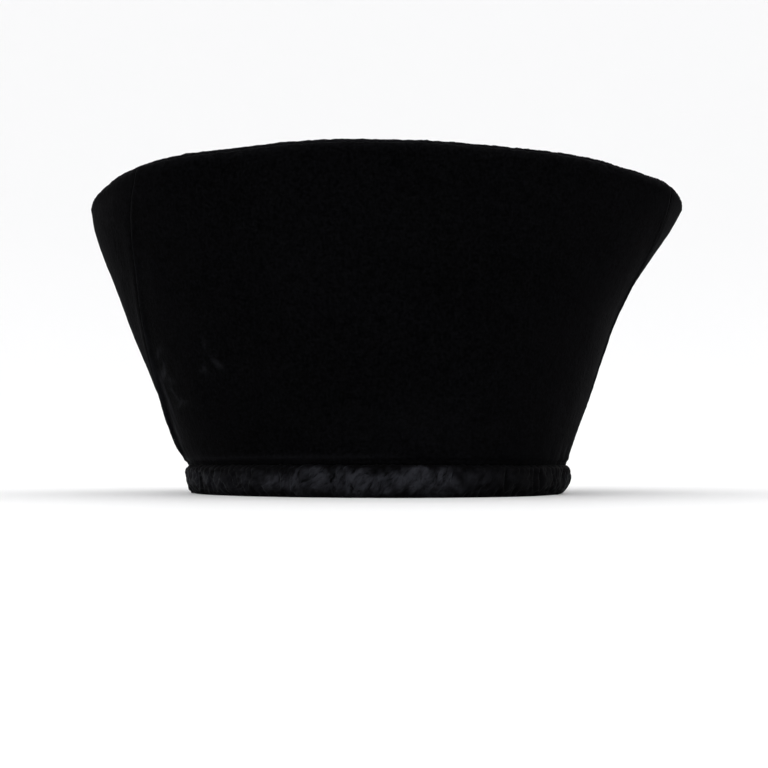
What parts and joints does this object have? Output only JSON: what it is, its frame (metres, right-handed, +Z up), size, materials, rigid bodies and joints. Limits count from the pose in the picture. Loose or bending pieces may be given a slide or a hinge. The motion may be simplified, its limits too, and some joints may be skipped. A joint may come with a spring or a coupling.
{
  "type": "cossack hat",
  "caption": "Tall flared cossack hat in black velvet with a flat crown, slanting ridge seams and a padded velvet roll round the head opening.",
  "frame": {"origin": "on the surface the hat stands on, under the middle of its outline seen from above", "axes": "+Z up through the crown, -Y towards the front of the hat, +X towards the wearer's left"},
  "size_m": [0.2934, 0.273, 0.1445],
  "materials": {
    "velvet": "deep black cut-pile velvet over a stiffened base, with crushed marks along the seams",
    "crushed_velvet": "black velvet roll, its pile crushed and slightly blue where it catches light, gathered at the nape"
  },
  "bodies": {
    "root": {"front_panel": "velvet", "back_panel": "velvet", "crown_top": "velvet", "brow_binding": "crushed_velvet"}
  },
  "joints": []
}
